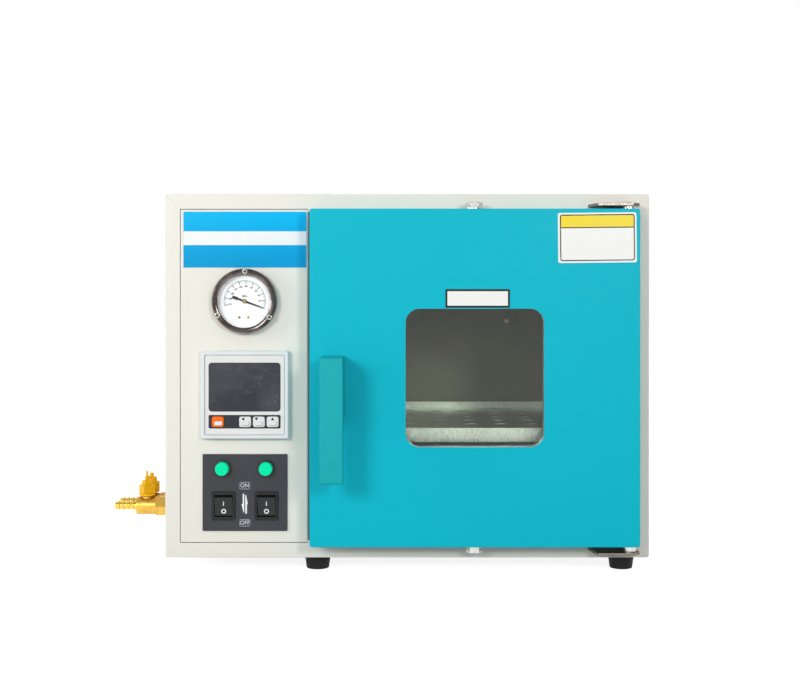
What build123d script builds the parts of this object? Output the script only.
"""Bench-top vacuum drying oven, modelled as separate named pieces.

Millimetres, +Z up, +Y towards the back, +X to the user's right. The origin lies on the bench under the
middle of the whole object. Every place below is given from the middle of the cabinet's front face: x to
the right, y backwards (negative in front), and z above the bench.
"""
import os

from build123d import *

os.makedirs("parts", exist_ok=True)

# ---- cabinet -------------------------------------------------------------------------------------------
cabinet_w = 530
cabinet_h = 398
cabinet_d = 350
foot_h = 18
sheet = 1.2
corner_r = 3
edge_r = 1.0
border = 16.2
rear_flange = 12
fit_gap = 0.1

# ---- control panel and what it carries -----------------------------------------------------------------
panel_x0 = -248.1
panel_x1 = -109.6
panel_gap = 0.7
panel_rim = 14
gauge_x = -177.4
gauge_z = 298.8
gauge_r = 35.5
gauge_case_r = 31
gauge_case_d = 32
gauge_flange = 2
bezel_front = 11.2
dial_r = 30
dial_t = 1
glass_r = 30.5
glass_t = 2
glass_front = 9.5
gauge_screw_circle = 33
gauge_screw_start = 88
needle_rest = -20
needle_tip = 22
needle_tail = 9
needle_t = 1
needle_back = 5
pivot_r = 0.8
controller_x = -177
controller_z = 196.8
controller_size = 96
controller_front = 9
controller_cut = 92
controller_body = 91
controller_body_d = 70
fascia_size = 86.6
fascia_front = 8.5
fascia_t = 1.4
display_w = 78.3
display_h = 53.2
display_z = 205.3
display_proud = 0.2
keys_z = 167.6
keys_h = 14.6
key_w = 12.9
key_h = 11.4
key_gap = 0.2
key_front = 9.9
key_back = 5.2
key_pocket = 4
key_first = -29
key_second = 0.7
key_pitch = 15
switch_x = -177.4
switch_z = 89.4
switch_w = 92.8
switch_h = 84
switch_t = 1.5
lamp_x = (-201.8, -154.2)
lamp_z = 116
lamp_bezel_r = 9.25
lamp_body_r = 7.9
lamp_lens_r = 7.75
lamp_bezel_h = 2.5
lamp_dome = 6
lamp_body_d = 22
rocker_x = (-200.7, -153.8)
rocker_z = 75
rocker_frame_w = 25.5
rocker_frame_h = 31
rocker_frame_t = 2
rocker_body_w = 22
rocker_body_h = 28
rocker_body_d = 22
rocker_open_w = 20.4
rocker_open_h = 24
rocker_pocket_d = 15
rocker_w = 19.8
rocker_r = 11.7
rocker_pivot_y = 2
rocker_tilt = 11
rocker_pin_r = 1.5

# ---- chamber -------------------------------------------------------------------------------------------
chamber_x = 72
chamber_z = 217
chamber_in = 210
chamber_wall = 3
chamber_r = 15
chamber_front = 8
chamber_deep = 250
flange_w = 250
flange_r = 22
flange_front = 2
gasket_out = 240
gasket_in = 220
gasket_front = 7.7
gasket_groove = 3
insulation_t = 34
insulation_back = 296
heater_t = 2
heater_w = 160
shelf_top = 160
shelf_t = 2
shelf_w = 206
shelf_front = 6
shelf_back = 246
shelf_lip = 15.7
rail_w = 12
rail_t = 1.5
rail_drop = 18
rail_play = 0.2
rail_front = 14
rail_back = 252

# ---- door ----------------------------------------------------------------------------------------------
door_x0 = -104.6
door_x1 = 248.9
door_z0 = 36
door_z1 = 398
door_front = 35
door_back = 3
door_sheet = 1.5
door_r = 3
window = 148
window_r = 15
pane = 164
pane_t = 4
door_opening = 280
door_opening_r = 18
carrier_front = 24
carrier_t = 4
glass_size = 270
door_glass_t = 12
door_glass_back = 8
arm_h = 12
arm_y0 = -26
arm_y1 = -10
hinge_x = 240
hinge_y = -18
hinge_pin_r = 3
running_gap = 0.05
hinge_plate_t = 3
hinge_top_gap = 3.5
hinge_low_gap = 7
hinge_reach = 30
hinge_leg = 40
washer_r = 7.5
door_play = 0.2
bolt_y = -19
bolt_r = 5
bolt_hex = 9.2
bolt_head = 6.4
bolt_washer_r = 10
bolt_washer_t = 1.6
handle_x = -78.4
handle_w = 23.9
handle_z0 = 111
handle_z1 = 241
handle_block_z = 175
handle_reach = 90
handle_bar = 14

# ---- valves, feet and rear -----------------------------------------------------------------------------
valve_y = (100, 127)
valve_z = 58.4
valve_hex_r = 12.3
valve_hex_l = 28
valve_body_r = 10.3
valve_body_l = 22.6
barb_l = 26
barb_r = 5.25
barb_pitch = 5.5
barb_bore_r = 3
neck_r = 6
stem_r = 2.5
stem_top = 82
valve_handle_z = 69.7
pipe_r = 4
pipe_rise_x = -88
pipe_bend = 16
port_z = (200, 235)
foot_r = 15
foot_tip_r = 12.5
foot_x = (-100, 240)
foot_y = (35, 315)
inlet_x = -200
inlet_z = 70
inlet_w = 50
inlet_h = 28
inlet_flange = 3
rear_screw_r = 4
rear_screw_h = 2.2

# ---- places that follow from the dimensions ------------------------------------------------------------
valve_reach = valve_hex_l + valve_body_l + barb_l
cabinet_x = valve_reach / 2
front_y = (handle_reach - cabinet_d - inlet_flange) / 2
top_z = foot_h + cabinet_h
middle_z = foot_h + cabinet_h / 2
inner_w = cabinet_w - 2 * sheet
inner_h = cabinet_h - 2 * sheet
left_x = -cabinet_w / 2
right_x = cabinet_w / 2
panel_z0 = foot_h + border + panel_gap
panel_z1 = top_z - border - panel_gap
divider_x = panel_x1 + sheet
chamber_back = chamber_front + chamber_deep
chamber_half = chamber_in / 2 + chamber_wall
chamber_left = chamber_x - chamber_half
chamber_right = chamber_x + chamber_half
insulation_half = chamber_half + insulation_t
door_mid_x = (door_x0 + door_x1) / 2
door_mid_z = (door_z0 + door_z1) / 2
hinge_top_z = door_z1 + hinge_top_gap
hinge_low_z = door_z0 - hinge_low_gap
valve_x = left_x - valve_hex_l - valve_body_l / 2
gauge_pipe_y = 80


# ---- helpers -------------------------------------------------------------------------------------------
def front(depth):
    """Upright plane, depth behind the cabinet's front: x is +X, y is +Z, extrusion comes to the user."""
    return Plane(origin=(cabinet_x, front_y + depth, 0), x_dir=(1, 0, 0), z_dir=(0, -1, 0))


def level(height):
    """Flat plane at a height above the bench: x is +X, y is +Y, extrusion goes up."""
    return Plane(origin=(cabinet_x, front_y, height), x_dir=(1, 0, 0), z_dir=(0, 0, 1))


def side(across):
    """Upright plane across the cabinet: x is +Y, y is +Z, extrusion goes to the right."""
    return Plane(origin=(cabinet_x + across, front_y, 0), x_dir=(0, 1, 0), z_dir=(1, 0, 0))


def turned(x, z):
    """Plane through an axis that runs front to back: x is the radius, y is the depth."""
    return Plane(origin=(cabinet_x + x, front_y, z), x_dir=(1, 0, 0), z_dir=(0, 0, 1))


def depth_axis(x, z):
    """The axis that goes with turned()."""
    return Axis((cabinet_x + x, front_y, z), (0, 1, 0))


def at(x, y, z):
    """A point given in cabinet places, in the model's own frame."""
    return (cabinet_x + x, front_y + y, z)


def block(x0, x1, y0, y1, z0, z1, mode=Mode.ADD):
    """Box between two opposite corners."""
    with Locations(at((x0 + x1) / 2, (y0 + y1) / 2, (z0 + z1) / 2)):
        Box(x1 - x0, y1 - y0, z1 - z0, mode=mode)


def write(builder, name):
    """Label a finished piece and write it out."""
    builder.part.label = name
    export_step(builder.part, "parts/" + name + ".step")


# ---- cabinet shell: wrapped sheet with a front frame and a rear flange ---------------------------------
with BuildPart() as cabinet_shell:
    with BuildSketch(front(0)):
        with Locations((0, middle_z)):
            RectangleRounded(cabinet_w, cabinet_h, corner_r)
    extrude(amount=-cabinet_d)
    fillet(faces().sort_by(Axis.Y)[0].edges(), edge_r)
    with BuildSketch(front(sheet)):
        with Locations((0, middle_z)):
            RectangleRounded(inner_w, inner_h, corner_r - sheet)
    extrude(amount=-(cabinet_d - sheet), mode=Mode.SUBTRACT)
    with BuildSketch(front(0)):
        with Locations((0, middle_z)):
            Rectangle(cabinet_w - 2 * border, cabinet_h - 2 * border)
    extrude(amount=-sheet, mode=Mode.SUBTRACT)
    with BuildSketch(front(cabinet_d - 2 * sheet)):
        with Locations((0, middle_z)):
            RectangleRounded(inner_w, inner_h, corner_r - sheet)
            Rectangle(inner_w - 2 * rear_flange, inner_h - 2 * rear_flange, mode=Mode.SUBTRACT)
    extrude(amount=-sheet)
    with BuildSketch(side(left_x)):
        with Locations((valve_y[0], valve_z), (valve_y[1], valve_z)):
            Circle(7)
    extrude(amount=sheet, mode=Mode.SUBTRACT)
    with BuildSketch(level(foot_h)):
        with Locations(*[(x, y) for x in foot_x for y in foot_y]):
            Circle(2.5)
    extrude(amount=sheet, mode=Mode.SUBTRACT)
    block(198.2, 250.6, 0, sheet, hinge_top_z - fit_gap, hinge_top_z + hinge_plate_t + fit_gap, Mode.SUBTRACT)
    block(198.2, 250.6, 0, sheet, hinge_low_z - hinge_plate_t - fit_gap, hinge_low_z + fit_gap, Mode.SUBTRACT)
    with BuildSketch(front(0)):
        with Locations((237.1, 407), (240.3, 407), (243.9, 407)):
            Circle(1.1)
    extrude(amount=-sheet, mode=Mode.SUBTRACT)
write(cabinet_shell, "cabinet_shell")

# ---- rear panel: lies on the rear flange, with vent slots and the inlet's cut-out ----------------------
rear_w = inner_w - 1
rear_h = inner_h - 1
rear_screw_x = rear_w / 2 - 7
rear_screw_z = rear_h / 2 - 7
rear_screw_places = [(x, middle_z + z) for x in (-rear_screw_x, 0, rear_screw_x) for z in (-rear_screw_z, rear_screw_z)]
rear_screw_places += [(x, middle_z) for x in (-rear_screw_x, rear_screw_x)]
with BuildPart() as rear_panel:
    with BuildSketch(front(cabinet_d - sheet)):
        with Locations((0, middle_z)):
            RectangleRounded(rear_w, rear_h, 2)
        with Locations((110, 345), (-120, 345), (-120, 190)):
            with GridLocations(0, 12, 1, 6):
                SlotOverall(90, 5, mode=Mode.SUBTRACT)
        with Locations((inlet_x, inlet_z)):
            Rectangle(28, 22, mode=Mode.SUBTRACT)
        with Locations(*rear_screw_places):
            Circle(2, mode=Mode.SUBTRACT)
    extrude(amount=-sheet)
write(rear_panel, "rear_panel")

with BuildPart() as rear_screws:
    with BuildSketch(front(cabinet_d)):
        with Locations(*rear_screw_places):
            Circle(rear_screw_r)
    extrude(amount=-rear_screw_h)
    chamfer(faces().sort_by(Axis.Y)[-8:].edges(), 0.8)
    with BuildSketch(front(cabinet_d + rear_screw_h)):
        with Locations(*rear_screw_places):
            Rectangle(4.4, 1)
            Rectangle(1, 4.4)
    extrude(amount=1, mode=Mode.SUBTRACT)
    with BuildSketch(front(cabinet_d)):
        with Locations(*rear_screw_places):
            Circle(2)
    extrude(amount=sheet)
write(rear_screws, "rear_screws")

# ---- feet: tapered rubber, each held by a screw and a nut ----------------------------------------------
foot_places = [(x, y) for x in foot_x for y in foot_y]
with BuildPart() as feet:
    with Locations(*[at(x, y, 0) for x, y in foot_places]):
        Cone(foot_tip_r, foot_r, foot_h, align=(Align.CENTER, Align.CENTER, Align.MIN))
        Cylinder(7, foot_h / 2, align=(Align.CENTER, Align.CENTER, Align.MIN), mode=Mode.SUBTRACT)
        Cylinder(2.5, foot_h, align=(Align.CENTER, Align.CENTER, Align.MIN), mode=Mode.SUBTRACT)
write(feet, "feet")

with BuildPart() as foot_screws:
    with BuildSketch(level(foot_h / 2 - 4)):
        with Locations(*foot_places):
            Circle(5)
            RegularPolygon(2.4, 6, mode=Mode.SUBTRACT)
    extrude(amount=3)
    with BuildSketch(level(foot_h / 2 - 1)):
        with Locations(*foot_places):
            Circle(5)
    extrude(amount=1)
    with BuildSketch(level(foot_h / 2)):
        with Locations(*foot_places):
            Circle(2.5)
    extrude(amount=foot_h)
    with BuildSketch(level(foot_h + sheet)):
        with Locations(*foot_places):
            RegularPolygon(4.6, 6)
    extrude(amount=4)
write(foot_screws, "foot_screws")

# ---- control panel: a shallow folded tray, flush with the front frame ----------------------------------
with BuildPart() as control_panel:
    with BuildSketch(front(0)):
        with Locations(((panel_x0 + panel_x1) / 2, (panel_z0 + panel_z1) / 2)):
            Rectangle(panel_x1 - panel_x0, panel_z1 - panel_z0)
    extrude(amount=-panel_rim)
    with BuildSketch(front(sheet)):
        with Locations(((panel_x0 + panel_x1) / 2, (panel_z0 + panel_z1) / 2)):
            Rectangle(panel_x1 - panel_x0 - 2 * sheet, panel_z1 - panel_z0 - 2 * sheet)
    extrude(amount=-panel_rim, mode=Mode.SUBTRACT)
    with BuildSketch(front(0)):
        with Locations((gauge_x, gauge_z)):
            Circle(gauge_case_r + fit_gap)
        with Locations((controller_x, controller_z)):
            Rectangle(controller_cut, controller_cut)
        with Locations(*[(x, lamp_z) for x in lamp_x]):
            Circle(lamp_body_r + fit_gap)
        with Locations(*[(x, rocker_z) for x in rocker_x]):
            Rectangle(rocker_body_w + 2 * fit_gap, rocker_body_h + 2 * fit_gap)
    extrude(amount=-sheet, mode=Mode.SUBTRACT)
write(control_panel, "control_panel")

# ---- divider between the electrical bay and the heated bay ---------------------------------------------
with BuildPart() as divider:
    with BuildSketch(side(panel_x1)):
        with Locations(((sheet + cabinet_d - 2 * sheet) / 2, middle_z)):
            Rectangle(cabinet_d - 3 * sheet, inner_h)
        with Locations(*[(y, valve_z) for y in valve_y]):
            Circle(pipe_r + 1, mode=Mode.SUBTRACT)
        with Locations((gauge_pipe_y, gauge_z)):
            Circle(pipe_r, mode=Mode.SUBTRACT)
        with Locations((210, 120)):
            Circle(10, mode=Mode.SUBTRACT)
    extrude(amount=sheet)
write(divider, "divider")

# ---- chamber's front panel, behind the door ------------------------------------------------------------
with BuildPart() as chamber_front_panel:
    with BuildSketch(front(sheet)):
        with Locations(((divider_x + right_x - sheet) / 2, middle_z)):
            Rectangle(right_x - sheet - divider_x, inner_h)
        with Locations((chamber_x, chamber_z)):
            RectangleRounded(flange_w, flange_w, flange_r, mode=Mode.SUBTRACT)
    extrude(amount=-sheet)
    # corners relieved where the cabinet's own corners are rounded, and slots for the hinge plates
    block(right_x - 4, right_x, 0, 4, top_z - 4, top_z, Mode.SUBTRACT)
    block(right_x - 4, right_x, 0, 4, foot_h, foot_h + 4, Mode.SUBTRACT)
    block(198.2, 250.6, 0, 4, hinge_top_z - fit_gap, hinge_top_z + hinge_plate_t + fit_gap, Mode.SUBTRACT)
    block(198.2, 250.6, 0, 4, hinge_low_z - hinge_plate_t - fit_gap, hinge_low_z + fit_gap, Mode.SUBTRACT)
write(chamber_front_panel, "chamber_front_panel")

# ---- chamber: deep-drawn box, open at the front, with ports in its left wall ---------------------------
with BuildPart() as chamber:
    with BuildSketch(front(chamber_front)):
        with Locations((chamber_x, chamber_z)):
            RectangleRounded(2 * chamber_half, 2 * chamber_half, chamber_r + chamber_wall)
    extrude(amount=-(chamber_deep + chamber_wall))
    with BuildSketch(front(chamber_front)):
        with Locations((chamber_x, chamber_z)):
            RectangleRounded(chamber_in, chamber_in, chamber_r)
    extrude(amount=-chamber_deep, mode=Mode.SUBTRACT)
    with BuildSketch(side(chamber_left)):
        with Locations((valve_y[0], port_z[0]), (valve_y[1], port_z[1])):
            Circle(pipe_r)
        with Locations((gauge_pipe_y, gauge_z)):
            Circle(pipe_r - 1)
    extrude(amount=chamber_wall, mode=Mode.SUBTRACT)
    with BuildSketch(front(chamber_back)):
        with Locations((chamber_x + 55, chamber_z + 55)):
            Circle(3)
    extrude(amount=-chamber_wall, mode=Mode.SUBTRACT)
write(chamber, "chamber")

with BuildPart() as chamber_flange:
    with BuildSketch(front(chamber_front)):
        with Locations((chamber_x, chamber_z)):
            RectangleRounded(flange_w, flange_w, flange_r)
            RectangleRounded(chamber_in, chamber_in, chamber_r, mode=Mode.SUBTRACT)
    extrude(amount=chamber_front + flange_front)
    with BuildSketch(front(-flange_front)):
        with Locations((chamber_x, chamber_z)):
            RectangleRounded(gasket_out, gasket_out, flange_r - 5)
            RectangleRounded(gasket_in, gasket_in, chamber_r + 2, mode=Mode.SUBTRACT)
    extrude(amount=-gasket_groove, mode=Mode.SUBTRACT)
write(chamber_flange, "chamber_flange")

with BuildPart() as door_gasket:
    with BuildSketch(front(gasket_groove - flange_front)):
        with Locations((chamber_x, chamber_z)):
            RectangleRounded(gasket_out, gasket_out, flange_r - 5)
            RectangleRounded(gasket_in, gasket_in, chamber_r + 2, mode=Mode.SUBTRACT)
    extrude(amount=gasket_groove - flange_front + gasket_front)
    chamfer(faces().sort_by(Axis.Y)[0].edges(), 1.8)
write(door_gasket, "door_gasket")

# ---- heating and insulation ----------------------------------------------------------------------------
heater_half = heater_w / 2
with BuildPart() as heater_plates:
    for z0 in (chamber_z + chamber_half, chamber_z - chamber_half - heater_t):
        block(chamber_x - heater_half, chamber_x + heater_half, 40, 230, z0, z0 + heater_t)
    block(chamber_right, chamber_right + heater_t, 40, 230, chamber_z - heater_half, chamber_z + heater_half)
    block(chamber_left - heater_t, chamber_left, 150, 240, chamber_z - heater_half, chamber_z + heater_half)
write(heater_plates, "heater_plates")

cavity = chamber_half + heater_t + 0.5
with BuildPart() as insulation:
    block(chamber_x - insulation_half, chamber_x + insulation_half, 14, insulation_back,
          chamber_z - insulation_half, chamber_z + insulation_half)
    block(chamber_x - cavity, chamber_x + cavity, 14, chamber_back + chamber_wall + 0.5,
          chamber_z - cavity, chamber_z + cavity, Mode.SUBTRACT)
    block(chamber_x - insulation_half, chamber_x - cavity, 90, 138, 188, 248, Mode.SUBTRACT)
    block(chamber_x - insulation_half, chamber_x - cavity, 74, 86, 290, 308, Mode.SUBTRACT)
    block(chamber_x + 40, chamber_x + 70, chamber_back, insulation_back, chamber_z + 40, chamber_z + 70,
          Mode.SUBTRACT)
write(insulation, "insulation")

with BuildPart() as temperature_probe:
    with BuildSketch(front(222)):
        with Locations((chamber_x + 55, chamber_z + 55)):
            Circle(3)
    extrude(amount=-(chamber_back + chamber_wall - 222))
    with BuildSketch(front(chamber_back + chamber_wall)):
        with Locations((chamber_x + 55, chamber_z + 55)):
            RegularPolygon(9, 6)
    extrude(amount=-12)
    with BuildSketch(front(chamber_back + chamber_wall + 12)):
        with Locations((chamber_x + 55, chamber_z + 55)):
            Circle(5)
    extrude(amount=-18)
write(temperature_probe, "temperature_probe")

# ---- stand under the insulated chamber -----------------------------------------------------------------
stand_top = chamber_z - insulation_half - 0.2
with BuildPart() as chamber_stand:
    with BuildSketch(front(40)):
        with Locations((chamber_x, foot_h + sheet)):
            Rectangle(220, stand_top - foot_h - sheet, align=(Align.CENTER, Align.MIN))
            Rectangle(216, stand_top - foot_h - sheet - 2, align=(Align.CENTER, Align.MIN), mode=Mode.SUBTRACT)
        with Locations((chamber_x - 118, foot_h + sheet), (chamber_x + 118, foot_h + sheet)):
            Rectangle(16, 2, align=(Align.CENTER, Align.MIN))
    extrude(amount=-240)
write(chamber_stand, "chamber_stand")

# ---- shelf and its rails -------------------------------------------------------------------------------
rail_top = shelf_top - shelf_t - rail_play
half_in = chamber_in / 2
with BuildPart() as shelf_rails:
    for wall, inner in ((chamber_x - half_in, 1), (chamber_x + half_in, -1)):
        foot = wall + inner * rail_w
        skin = wall + inner * rail_t
        block(min(wall, foot), max(wall, foot), rail_front, rail_back, rail_top - rail_t, rail_top)
        block(min(wall, skin), max(wall, skin), rail_front, rail_back, rail_top - rail_drop, rail_top)
write(shelf_rails, "shelf_rails")

with BuildPart() as shelf:
    block(chamber_x - shelf_w / 2, chamber_x + shelf_w / 2, shelf_front, shelf_back, shelf_top - shelf_t, shelf_top)
    block(chamber_x - shelf_w / 2, chamber_x + shelf_w / 2, shelf_front, shelf_front + shelf_t,
          shelf_top - shelf_lip, shelf_top)
    block(chamber_x - shelf_w / 2, chamber_x + shelf_w / 2, shelf_back - shelf_t, shelf_back,
          shelf_top - shelf_t, shelf_top + 8)
    with BuildSketch(level(shelf_top - shelf_t)):
        with Locations((chamber_x, (shelf_front + shelf_back) / 2 + 4)):
            with GridLocations(34, 40, 5, 5):
                Circle(7)
    extrude(amount=shelf_t, mode=Mode.SUBTRACT)
write(shelf, "shelf")

# ---- vacuum gauge --------------------------------------------------------------------------------------
with BuildPart() as gauge_case:
    with BuildSketch(front(0)):
        with Locations((gauge_x, gauge_z)):
            Circle(gauge_r)
    extrude(amount=gauge_flange)
    with BuildSketch(front(0)):
        with Locations((gauge_x, gauge_z)):
            Circle(gauge_case_r)
    extrude(amount=-gauge_case_d)
    with BuildSketch(front(gauge_case_d)):
        with Locations((gauge_x, gauge_z)):
            Circle(7)
    extrude(amount=-10)
    with BuildSketch(front(-gauge_flange)):
        with Locations((gauge_x, gauge_z)):
            Circle(pivot_r)
    extrude(amount=needle_back + needle_t - gauge_flange + 0.4)
    with BuildSketch(front(-gauge_flange)):
        with Locations((gauge_x, gauge_z)):
            with PolarLocations(gauge_screw_circle, 3, start_angle=gauge_screw_start):
                Circle(1.2)
    extrude(amount=-1, mode=Mode.SUBTRACT)
write(gauge_case, "gauge_case")

with BuildPart() as gauge_bezel:
    with BuildSketch(turned(gauge_x, gauge_z)):
        with BuildLine():
            Polyline(
                (glass_r + fit_gap, -gauge_flange),
                (glass_r + fit_gap, -glass_front),
                (dial_r - 1, -glass_front),
                (dial_r - 1, -glass_front - 0.6),
                (dial_r + 1, -bezel_front),
                (gauge_r - 2, -bezel_front),
                (gauge_r - 0.6, -bezel_front + 1),
                (gauge_r, -bezel_front + 3),
                (gauge_r, -gauge_flange),
                close=True,
            )
        make_face()
    revolve(axis=depth_axis(gauge_x, gauge_z))
    with BuildSketch(front(-bezel_front)):
        with Locations((gauge_x, gauge_z)):
            with PolarLocations(gauge_screw_circle, 3, start_angle=gauge_screw_start):
                Circle(2.3)
    extrude(amount=-0.8, mode=Mode.SUBTRACT)
    with BuildSketch(front(-bezel_front)):
        with Locations((gauge_x, gauge_z)):
            with PolarLocations(gauge_screw_circle, 3, start_angle=gauge_screw_start):
                Circle(1.2)
    extrude(amount=-bezel_front, mode=Mode.SUBTRACT)
write(gauge_bezel, "gauge_bezel")

with BuildPart() as gauge_screws:
    with BuildSketch(front(-bezel_front + 0.8)):
        with Locations((gauge_x, gauge_z)):
            with PolarLocations(gauge_screw_circle, 3, start_angle=gauge_screw_start):
                Circle(2.2)
    extrude(amount=1.8)
    chamfer(faces().sort_by(Axis.Y)[:3].edges(), 0.5)
    with BuildSketch(front(-bezel_front - 1)):
        with Locations((gauge_x, gauge_z)):
            with PolarLocations(gauge_screw_circle, 3, start_angle=gauge_screw_start):
                Rectangle(5, 0.6)
    extrude(amount=-0.6, mode=Mode.SUBTRACT)
    with BuildSketch(front(-bezel_front + 0.8)):
        with Locations((gauge_x, gauge_z)):
            with PolarLocations(gauge_screw_circle, 3, start_angle=gauge_screw_start):
                Circle(1.2)
    extrude(amount=-(bezel_front - 0.8 - gauge_flange + 1))
write(gauge_screws, "gauge_screws")

with BuildPart() as gauge_dial:
    with BuildSketch(front(-gauge_flange)):
        with Locations((gauge_x, gauge_z)):
            Circle(dial_r)
            Circle(pivot_r + 0.3, mode=Mode.SUBTRACT)
    extrude(amount=dial_t)
write(gauge_dial, "gauge_dial")

with BuildPart() as gauge_glass:
    with BuildSketch(front(-glass_front)):
        with Locations((gauge_x, gauge_z)):
            Circle(glass_r)
    extrude(amount=-glass_t)
write(gauge_glass, "gauge_glass")

with BuildPart() as gauge_needle:
    with BuildSketch(front(-needle_back)):
        with Locations(Location((gauge_x, gauge_z), needle_rest)):
            Polygon((0, 1.3), (needle_tip, 0.4), (needle_tip, -0.4), (0, -1.3), align=None)
            Polygon((0, 1.3), (-needle_tail, 2.2), (-needle_tail, -2.2), (0, -1.3), align=None)
            Circle(3)
    extrude(amount=needle_t)
    with BuildSketch(front(-needle_back)):
        with Locations((gauge_x, gauge_z)):
            Circle(1.8)
    extrude(amount=-(needle_back - gauge_flange - dial_t - 0.4))
    with BuildSketch(front(-needle_back - needle_t)):
        with Locations((gauge_x, gauge_z)):
            Circle(pivot_r + running_gap)
    extrude(amount=-needle_back, mode=Mode.SUBTRACT)
write(gauge_needle, "gauge_needle")

with BuildPart() as gauge_tube:
    with BuildLine() as gauge_route:
        FilletPolyline(
            at(gauge_x, gauge_case_d + 10, gauge_z),
            at(gauge_x, gauge_pipe_y, gauge_z),
            at(chamber_left + chamber_wall, gauge_pipe_y, gauge_z),
            radius=20,
        )
    with BuildSketch(front(gauge_case_d + 10)):
        with Locations((gauge_x, gauge_z)):
            Circle(pipe_r - 1)
    sweep()
write(gauge_tube, "gauge_tube")

# ---- temperature controller ----------------------------------------------------------------------------
key_places = [(controller_x + key_first, keys_z)]
key_places += [(controller_x + key_second + n * key_pitch, keys_z) for n in range(3)]
with BuildPart() as controller_housing:
    with BuildSketch(front(0)):
        with Locations((controller_x, controller_z)):
            RectangleRounded(controller_size, controller_size, 2.5)
    extrude(amount=controller_front)
    chamfer(faces().sort_by(Axis.Y)[0].edges(), 1)
    with BuildSketch(front(0)):
        with Locations((controller_x, controller_z)):
            Rectangle(controller_body, controller_body)
    extrude(amount=-controller_body_d)
    with BuildSketch(front(-controller_front)):
        with Locations((controller_x, controller_z)):
            RectangleRounded(fascia_size + 2 * fit_gap, fascia_size + 2 * fit_gap, 1.5)
    extrude(amount=-(controller_front - fascia_front + fascia_t), mode=Mode.SUBTRACT)
    with BuildSketch(front(-key_pocket)):
        with Locations(*key_places):
            Rectangle(key_w + 2 * key_gap, key_h + 2 * key_gap)
    extrude(amount=controller_front - key_pocket, mode=Mode.SUBTRACT)
write(controller_housing, "controller_housing")

with BuildPart() as controller_fascia:
    with BuildSketch(front(-(fascia_front - fascia_t))):
        with Locations((controller_x, controller_z)):
            RectangleRounded(fascia_size, fascia_size, 1.5)
        with Locations((controller_x, display_z)):
            RectangleRounded(display_w, display_h, 3.7, mode=Mode.SUBTRACT)
        with Locations((controller_x, keys_z)):
            RectangleRounded(display_w, keys_h, 1.5, mode=Mode.SUBTRACT)
    extrude(amount=fascia_t)
write(controller_fascia, "controller_fascia")

with BuildPart() as controller_display:
    with BuildSketch(front(-(fascia_front - fascia_t))):
        with Locations((controller_x, display_z)):
            RectangleRounded(display_w, display_h, 3.7)
    extrude(amount=fascia_t + display_proud)
write(controller_display, "controller_display")

with BuildPart() as keypad_strip:
    with BuildSketch(front(-(fascia_front - fascia_t))):
        with Locations((controller_x, keys_z)):
            RectangleRounded(display_w, keys_h, 1.5)
        with Locations(*key_places):
            Rectangle(key_w + 2 * key_gap, key_h + 2 * key_gap, mode=Mode.SUBTRACT)
    extrude(amount=fascia_t + display_proud)
write(keypad_strip, "keypad_strip")

for key_name, key_place in zip(("set_button", "shift_button", "down_button", "up_button"), key_places):
    with BuildPart() as key:
        with BuildSketch(front(-key_back)):
            with Locations(key_place):
                RectangleRounded(key_w, key_h, 1)
        extrude(amount=key_front - key_back)
        chamfer(faces().sort_by(Axis.Y)[0].edges(), 0.5)
    write(key, key_name)

# ---- switch plate, lamps and rocker switches -----------------------------------------------------------
with BuildPart() as switch_plate:
    with BuildSketch(front(0)):
        with Locations((switch_x, switch_z)):
            RectangleRounded(switch_w, switch_h, 1)
        with Locations(*[(x, lamp_z) for x in lamp_x]):
            Circle(lamp_body_r + fit_gap, mode=Mode.SUBTRACT)
        with Locations(*[(x, rocker_z) for x in rocker_x]):
            Rectangle(rocker_body_w + 2 * fit_gap, rocker_body_h + 2 * fit_gap, mode=Mode.SUBTRACT)
    extrude(amount=switch_t)
write(switch_plate, "switch_plate")

with BuildPart() as lamp_bezels:
    with BuildSketch(front(-switch_t)):
        with Locations(*[(x, lamp_z) for x in lamp_x]):
            Circle(lamp_bezel_r)
            Circle(lamp_lens_r, mode=Mode.SUBTRACT)
    extrude(amount=lamp_bezel_h)
    chamfer(faces().sort_by(Axis.Y)[:2].edges().sort_by(SortBy.RADIUS)[-2:], 0.8)
    with BuildSketch(front(-switch_t)):
        with Locations(*[(x, lamp_z) for x in lamp_x]):
            Circle(lamp_body_r)
    extrude(amount=-(lamp_body_d + switch_t))
write(lamp_bezels, "lamp_bezels")

with BuildPart() as lamp_lenses:
    with BuildSketch(front(-switch_t)):
        with Locations(*[(x, lamp_z) for x in lamp_x]):
            Circle(lamp_lens_r)
    extrude(amount=lamp_dome)
    fillet(faces().sort_by(Axis.Y)[:2].edges(), lamp_dome - lamp_bezel_h)
write(lamp_lenses, "lamp_lenses")

with BuildPart() as switch_frames:
    with BuildSketch(front(-switch_t)):
        with Locations(*[(x, rocker_z) for x in rocker_x]):
            RectangleRounded(rocker_frame_w, rocker_frame_h, 1.5)
    extrude(amount=rocker_frame_t)
    chamfer(faces().sort_by(Axis.Y)[:2].edges(), 0.5)
    with BuildSketch(front(-switch_t)):
        with Locations(*[(x, rocker_z) for x in rocker_x]):
            Rectangle(rocker_body_w, rocker_body_h)
    extrude(amount=-(rocker_body_d + switch_t))
    with BuildSketch(front(-switch_t - rocker_frame_t)):
        with Locations(*[(x, rocker_z) for x in rocker_x]):
            Rectangle(rocker_open_w, rocker_open_h)
    extrude(amount=-(switch_t + rocker_frame_t + rocker_pocket_d), mode=Mode.SUBTRACT)
    for x in rocker_x:
        with Locations(Location(at(x, rocker_pivot_y, rocker_z), (0, 90, 0))):
            Cylinder(rocker_pin_r, rocker_open_w + 0.6)
        for z in (-8, 8):
            block(x - 3.1, x + 3.1, rocker_body_d, rocker_body_d + 8, rocker_z + z - 0.4, rocker_z + z + 0.4)
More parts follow.
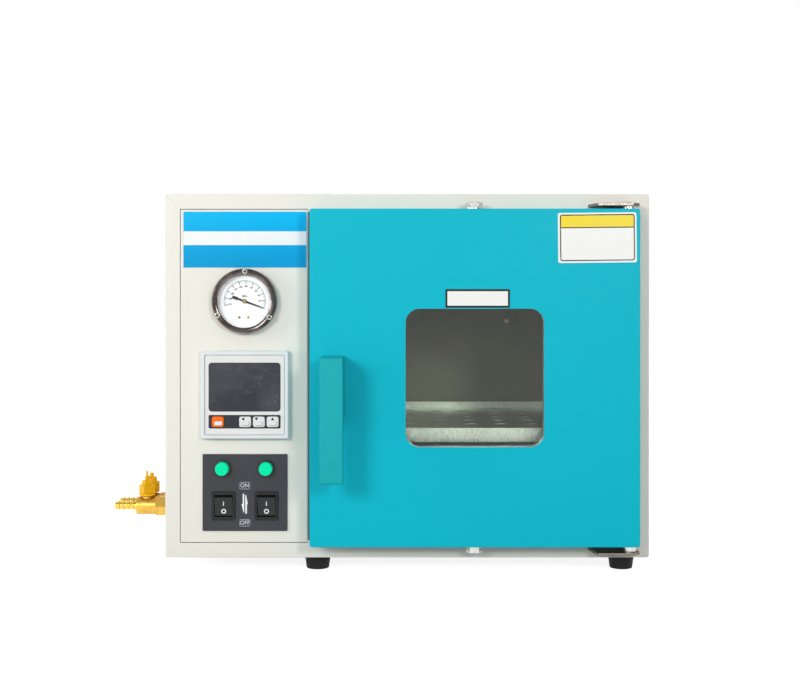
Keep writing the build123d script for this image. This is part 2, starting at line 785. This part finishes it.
write(switch_frames, "switch_frames")

for rocker_name, x in zip(("power_rocker", "heat_rocker"), rocker_x):
    outward = Vector(0, -1, 0).rotate(Axis.X, rocker_tilt)
    with BuildPart() as rocker:
        with BuildSketch(Plane(origin=at(x, rocker_pivot_y, rocker_z), x_dir=outward, z_dir=(-1, 0, 0))):
            Polygon((4, 0), (5, 11), (5, 13), (-3.5, 13), (-5, 6), (-5, -6), (-3.5, -13), (5, -13), (5, -11),
                    align=None)
            Circle(rocker_r, mode=Mode.INTERSECT)
            Circle(rocker_pin_r + running_gap, mode=Mode.SUBTRACT)
        extrude(amount=rocker_w / 2, both=True)
    write(rocker, rocker_name)

# ---- door: folded shell with a window in front and a wide opening behind -------------------------------
with BuildPart() as door_shell:
    with BuildSketch(front(-door_back)):
        with Locations((door_mid_x, door_mid_z)):
            RectangleRounded(door_x1 - door_x0, door_z1 - door_z0, door_r)
    extrude(amount=door_front - door_back)
    fillet(faces().sort_by(Axis.Y)[0].edges(), edge_r)
    with BuildSketch(front(-door_back - door_sheet)):
        with Locations((door_mid_x, door_mid_z)):
            RectangleRounded(door_x1 - door_x0 - 2 * door_sheet, door_z1 - door_z0 - 2 * door_sheet,
                             door_r - door_sheet)
    extrude(amount=door_front - door_back - 2 * door_sheet, mode=Mode.SUBTRACT)
    with BuildSketch(front(-door_front)):
        with Locations((door_mid_x, door_mid_z)):
            RectangleRounded(window, window, window_r)
        with Locations((handle_x, handle_block_z + 15), (handle_x, handle_z1 - 15)):
            Circle(3)
    extrude(amount=-door_sheet, mode=Mode.SUBTRACT)
    with BuildSketch(front(-door_back)):
        with Locations((door_mid_x, door_mid_z)):
            RectangleRounded(door_opening, door_opening, door_opening_r)
    extrude(amount=door_sheet, mode=Mode.SUBTRACT)
    with BuildSketch(level(door_z0)):
        with Locations((hinge_x, hinge_y)):
            Circle(hinge_pin_r + 0.5)
        with Locations((door_mid_x, bolt_y)):
            Circle(bolt_r)
    extrude(amount=door_sheet, mode=Mode.SUBTRACT)
    with BuildSketch(level(door_z1 - door_sheet)):
        with Locations((hinge_x, hinge_y)):
            Circle(hinge_pin_r + 0.5)
        with Locations((door_mid_x, bolt_y)):
            Circle(bolt_r)
    extrude(amount=door_sheet, mode=Mode.SUBTRACT)
write(door_shell, "door_shell")

# ---- carrier plate: spans the door and holds the glass -------------------------------------------------
arm_top = door_z1 - door_sheet
arm_low = door_z0 + door_sheet
ring_out = glass_size + 22
ring_in = glass_size + 0.6
with BuildPart() as glass_carrier:
    with BuildSketch(front(-carrier_front + carrier_t)):
        with Locations((door_mid_x, door_mid_z)):
            Rectangle(door_x1 - door_x0 - 2 * door_sheet, arm_top - arm_low - 2 * arm_h)
            RectangleRounded(window, window, window_r, mode=Mode.SUBTRACT)
    extrude(amount=carrier_t)
    with BuildSketch(front(-carrier_front)):
        with Locations((door_mid_x, door_mid_z)):
            RectangleRounded(pane, pane, window_r)
            RectangleRounded(window, window, window_r, mode=Mode.SUBTRACT)
    extrude(amount=door_front - door_sheet - pane_t - carrier_front)
    with BuildSketch(front(-carrier_front + carrier_t)):
        with Locations((door_mid_x, door_mid_z)):
            RectangleRounded(ring_out, ring_out, 8)
            RectangleRounded(ring_in, ring_in, 4, mode=Mode.SUBTRACT)
    extrude(amount=-(carrier_front - carrier_t - door_back - door_sheet))
    # four clips hold the glass at the middle of its sides
    with BuildSketch(front(-door_glass_back)):
        with Locations((door_mid_x, door_mid_z)):
            with PolarLocations(glass_size / 2 - 2, 4):
                Rectangle(12, 30)
    extrude(amount=-2)
write(glass_carrier, "glass_carrier")

with BuildPart() as door_glass:
    with BuildSketch(front(-door_glass_back)):
        with Locations((door_mid_x, door_mid_z)):
            RectangleRounded(glass_size, glass_size, 4)
    extrude(amount=door_glass_t)
write(door_glass, "door_glass")

with BuildPart() as window_pane:
    with BuildSketch(front(-door_front + door_sheet)):
        with Locations((door_mid_x, door_mid_z)):
            RectangleRounded(pane, pane, window_r)
    extrude(amount=-pane_t)
write(window_pane, "window_pane")

# ---- hinge arms inside the door, and the bolts that hold the door on them ------------------------------
with BuildPart() as hinge_arms:
    for z0 in (arm_top - arm_h, arm_low):
        block(door_mid_x - 12, door_x1 - door_r, arm_y0, arm_y1, z0, z0 + arm_h)
        with Locations(at(hinge_x, hinge_y, z0 + arm_h / 2)):
            Cylinder(hinge_pin_r + running_gap, arm_h, mode=Mode.SUBTRACT)
        with Locations(at(door_mid_x, bolt_y, z0 + arm_h / 2)):
            Cylinder(bolt_r, arm_h, mode=Mode.SUBTRACT)
write(hinge_arms, "hinge_arms")

with BuildPart() as door_bolts:
    for z0, up in ((door_z1, 1), (door_z0, -1)):
        with BuildSketch(level(z0)):
            with Locations((door_mid_x, bolt_y)):
                Circle(bolt_washer_r)
        extrude(amount=up * bolt_washer_t)
        with BuildSketch(level(z0 + up * bolt_washer_t)):
            with Locations((door_mid_x, bolt_y)):
                RegularPolygon(bolt_hex, 6)
        extrude(amount=up * bolt_head)
        with BuildSketch(level(z0)):
            with Locations((door_mid_x, bolt_y)):
                Circle(bolt_r)
        extrude(amount=-up * (door_sheet + arm_h))
    chamfer(faces().sort_by(Axis.Z)[-1].edges(), 0.8)
    chamfer(faces().sort_by(Axis.Z)[0].edges(), 0.8)
write(door_bolts, "door_bolts")

# ---- door handle: an upright bar held away from the door by a block on its upper half ------------------
with BuildPart() as door_handle:
    with BuildSketch(side(handle_x - handle_w / 2)):
        with BuildLine():
            Polyline(
                (-handle_reach, handle_z1),
                (-door_front, handle_z1),
                (-door_front, handle_block_z),
                (-handle_reach + handle_bar, handle_block_z),
                (-handle_reach + handle_bar, handle_z0),
                (-handle_reach, handle_z0),
                close=True,
            )
        make_face()
        fillet(vertices().group_by(Axis.Y)[0], 3)
        fillet(vertices().group_by(Axis.Y)[-1].sort_by(Axis.X)[0], 3)
    extrude(amount=handle_w)
    fillet(edges().filter_by(Axis.Z).group_by(Axis.Y)[0], 1.2)
    with BuildSketch(front(-door_front)):
        with Locations((handle_x, handle_block_z + 15), (handle_x, handle_z1 - 15)):
            Circle(3)
    extrude(amount=22, mode=Mode.SUBTRACT)
write(door_handle, "door_handle")

with BuildPart() as handle_screws:
    with BuildSketch(front(-door_front + door_sheet)):
        with Locations((handle_x, handle_block_z + 15), (handle_x, handle_z1 - 15)):
            Circle(5)
    extrude(amount=-5)
    with BuildSketch(front(-door_front + door_sheet)):
        with Locations((handle_x, handle_block_z + 15), (handle_x, handle_z1 - 15)):
            Circle(3)
    extrude(amount=20)
write(handle_screws, "handle_screws")

# ---- hinge plates, pins and washers on the cabinet -----------------------------------------------------
with BuildPart() as hinge_brackets:
    for z0, leg in ((hinge_top_z, -1), (hinge_low_z - hinge_plate_t, 1)):
        with BuildSketch(level(z0)):
            with BuildLine():
                Polyline(
                    (198.4, 5.4),
                    (198.4, 0),
                    (204.6, -hinge_reach),
                    (243, -hinge_reach),
                    (250.4, -hinge_reach + 7),
                    (250.4, 5.4),
                    close=True,
                )
            make_face()
            with Locations((hinge_x, hinge_y)):
                Circle(hinge_pin_r, mode=Mode.SUBTRACT)
        extrude(amount=hinge_plate_t)
        foot = z0 if leg < 0 else z0 + hinge_plate_t
        block(198.4, 250.4, 2 * sheet, 2 * sheet + 3, min(foot, foot + leg * hinge_leg),
              max(foot, foot + leg * hinge_leg))
write(hinge_brackets, "hinge_brackets")

with BuildPart() as hinge_pins:
    with BuildSketch(level(arm_top - arm_h + 1)):
        with Locations((hinge_x, hinge_y)):
            Circle(hinge_pin_r)
    extrude(amount=hinge_top_z + hinge_plate_t - arm_top + arm_h - 1)
    with BuildSketch(level(hinge_low_z - hinge_plate_t)):
        with Locations((hinge_x, hinge_y)):
            Circle(hinge_pin_r)
    extrude(amount=arm_low + arm_h - 1 - hinge_low_z + hinge_plate_t)
write(hinge_pins, "hinge_pins")

with BuildPart() as hinge_washers:
    with BuildSketch(level(door_z1 + door_play)):
        with Locations((hinge_x, hinge_y)):
            Circle(washer_r)
            Circle(hinge_pin_r, mode=Mode.SUBTRACT)
    extrude(amount=hinge_top_gap - door_play)
    with BuildSketch(level(hinge_low_z)):
        with Locations((hinge_x, hinge_y)):
            Circle(washer_r)
            Circle(hinge_pin_r, mode=Mode.SUBTRACT)
    extrude(amount=hinge_low_gap - door_play)
write(hinge_washers, "hinge_washers")

with BuildPart() as catch_magnet:
    block(-99, -87, -door_back + 0.4, sheet, door_mid_z - 20, door_mid_z + 20)
write(catch_magnet, "catch_magnet")

# ---- brass valves on the left wall, their hose barbs and the pipes behind them -------------------------
with BuildPart() as valve_bodies:
    for y in valve_y:
        with BuildSketch(side(left_x)):
            with Locations((y, valve_z)):
                RegularPolygon(valve_hex_r, 6)
        extrude(amount=-valve_hex_l)
        with BuildSketch(side(left_x - valve_hex_l)):
            with Locations((y, valve_z)):
                Circle(valve_body_r)
        extrude(amount=-valve_body_l)
        with BuildSketch(side(left_x)):
            with Locations((y, valve_z)):
                Circle(7)
        extrude(amount=10)
        with BuildSketch(side(left_x + sheet)):
            with Locations((y, valve_z)):
                RegularPolygon(11, 6)
        extrude(amount=5)
        with BuildSketch(level(valve_z)):
            with Locations((valve_x, y)):
                Circle(neck_r)
        extrude(amount=valve_handle_z - 0.4 - valve_z)
        with BuildSketch(level(valve_z)):
            with Locations((valve_x, y)):
                Circle(stem_r)
        extrude(amount=stem_top - valve_z)
        with BuildSketch(side(left_x - valve_hex_l - valve_body_l)):
            with Locations((y, valve_z)):
                Circle(barb_bore_r)
        extrude(amount=6, mode=Mode.SUBTRACT)
write(valve_bodies, "valve_bodies")

barb_root = left_x - valve_hex_l - valve_body_l
barb_ridges = []
for n in range(4):
    ridge_x = 4 + n * barb_pitch
    barb_ridges += [(ridge_x - 0.6, barb_r - 0.9), (ridge_x, barb_r), (ridge_x + barb_pitch - 0.8, barb_r - 0.9)]
with BuildPart() as hose_barbs:
    for y in valve_y:
        barb_plane = Plane(origin=at(barb_root, y, valve_z), x_dir=(-1, 0, 0), z_dir=(0, 1, 0))
        with BuildSketch(barb_plane):
            with BuildLine():
                Polyline(
                    (0, barb_bore_r),
                    (0, barb_r + 1),
                    (2, barb_r + 1),
                    (2, barb_r - 0.9),
                    *barb_ridges,
                    (barb_l, barb_r - 1.4),
                    (barb_l, barb_bore_r),
                    close=True,
                )
            make_face()
        revolve(axis=Axis(at(barb_root, y, valve_z), (1, 0, 0)))
write(hose_barbs, "hose_barbs")

handle_steps = [(8, 70.5), (11, 72), (10.4, 83), (8.6, 85), (8.2, 88), (5.3, 90), (4.8, 93.4), (1.6, 94)]
handle_outline = handle_steps + [(1.2, 98.9), (-1.2, 98.9)] + [(-w, z) for w, z in reversed(handle_steps)]
for handle_name, y in zip(("vacuum_valve_handle", "vent_valve_handle"), valve_y):
    with BuildPart() as valve_handle:
        with BuildSketch(front(y)):
            with Locations((valve_x, 0)):
                Polygon(*handle_outline, align=None)
        extrude(amount=1.8, both=True)
        with BuildSketch(level(valve_handle_z)):
            with Locations((valve_x, y)):
                Circle(8)
        extrude(amount=3.5)
        with BuildSketch(level(valve_handle_z)):
            with Locations((valve_x, y)):
                Circle(5)
        extrude(amount=18)
        with BuildSketch(level(valve_handle_z)):
            with Locations((valve_x, y)):
                Circle(stem_r + running_gap)
        extrude(amount=stem_top - valve_handle_z + 0.3, mode=Mode.SUBTRACT)
    write(valve_handle, handle_name)

with BuildPart() as vacuum_pipes:
    for y, z in zip(valve_y, port_z):
        with BuildLine():
            FilletPolyline(
                at(left_x + 10, y, valve_z),
                at(pipe_rise_x, y, valve_z),
                at(pipe_rise_x, y, z),
                at(chamber_left + chamber_wall, y, z),
                radius=pipe_bend,
            )
        with BuildSketch(side(left_x + 10)):
            with Locations((y, valve_z)):
                Circle(pipe_r)
        sweep()
        with BuildSketch(side(chamber_left + chamber_wall)):
            with Locations((y, z)):
                Circle(pipe_r - 1.2)
        extrude(amount=-12, mode=Mode.SUBTRACT)
write(vacuum_pipes, "vacuum_pipes")

# ---- rear inlet and the relay on the divider -----------------------------------------------------------
with BuildPart() as power_inlet:
    with BuildSketch(front(cabinet_d)):
        with Locations((inlet_x, inlet_z)):
            RectangleRounded(inlet_w, inlet_h, 4)
    extrude(amount=-inlet_flange)
    with BuildSketch(front(cabinet_d)):
        with Locations((inlet_x, inlet_z)):
            Rectangle(28, 22)
    extrude(amount=20)
    with BuildSketch(front(cabinet_d + inlet_flange)):
        with Locations((inlet_x, inlet_z)):
            RectangleRounded(24.4, 16.6, 2.5)
    extrude(amount=17, mode=Mode.SUBTRACT)
    with BuildSketch(front(cabinet_d + inlet_flange - 17)):
        with Locations((inlet_x - 7, inlet_z - 2), (inlet_x, inlet_z + 2), (inlet_x + 7, inlet_z - 2)):
            Rectangle(2, 4)
    extrude(amount=-10.5)
write(power_inlet, "power_inlet")

with BuildPart() as power_relay:
    block(panel_x1 - 6, panel_x1, 150, 210, 200, 260)
    block(panel_x1 - 24, panel_x1 - 6, 158, 202, 202, 258)
    for z in (208, 252):
        block(panel_x1 - 26, panel_x1 - 24, 164, 172, z - 4, z + 4)
        block(panel_x1 - 26, panel_x1 - 24, 188, 196, z - 4, z + 4)
write(power_relay, "power_relay")
